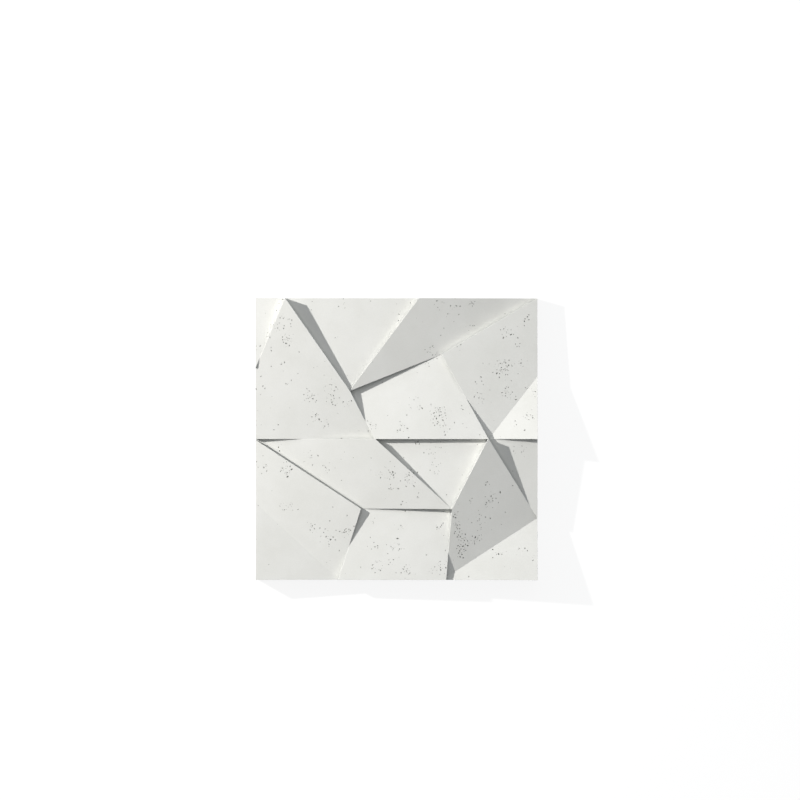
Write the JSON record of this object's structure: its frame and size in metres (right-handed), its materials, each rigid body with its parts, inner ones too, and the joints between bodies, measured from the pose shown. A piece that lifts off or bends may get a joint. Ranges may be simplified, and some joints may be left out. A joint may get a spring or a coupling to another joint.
{
  "type": "3d wall panel tile",
  "caption": "Square cast concrete wall tile with a flat back and a front of tilted flat facets that meet in step walls and creases.",
  "frame": {"origin": "centre of the flat back", "axes": "+Z out of the relief, +X to the right and +Y up the wall as the tile is hung, stored lying on its back"},
  "size_m": [0.6, 0.6, 0.075],
  "materials": {
    "concrete": "matte"
  },
  "bodies": {
    "root": {"panel": "concrete"}
  },
  "joints": []
}
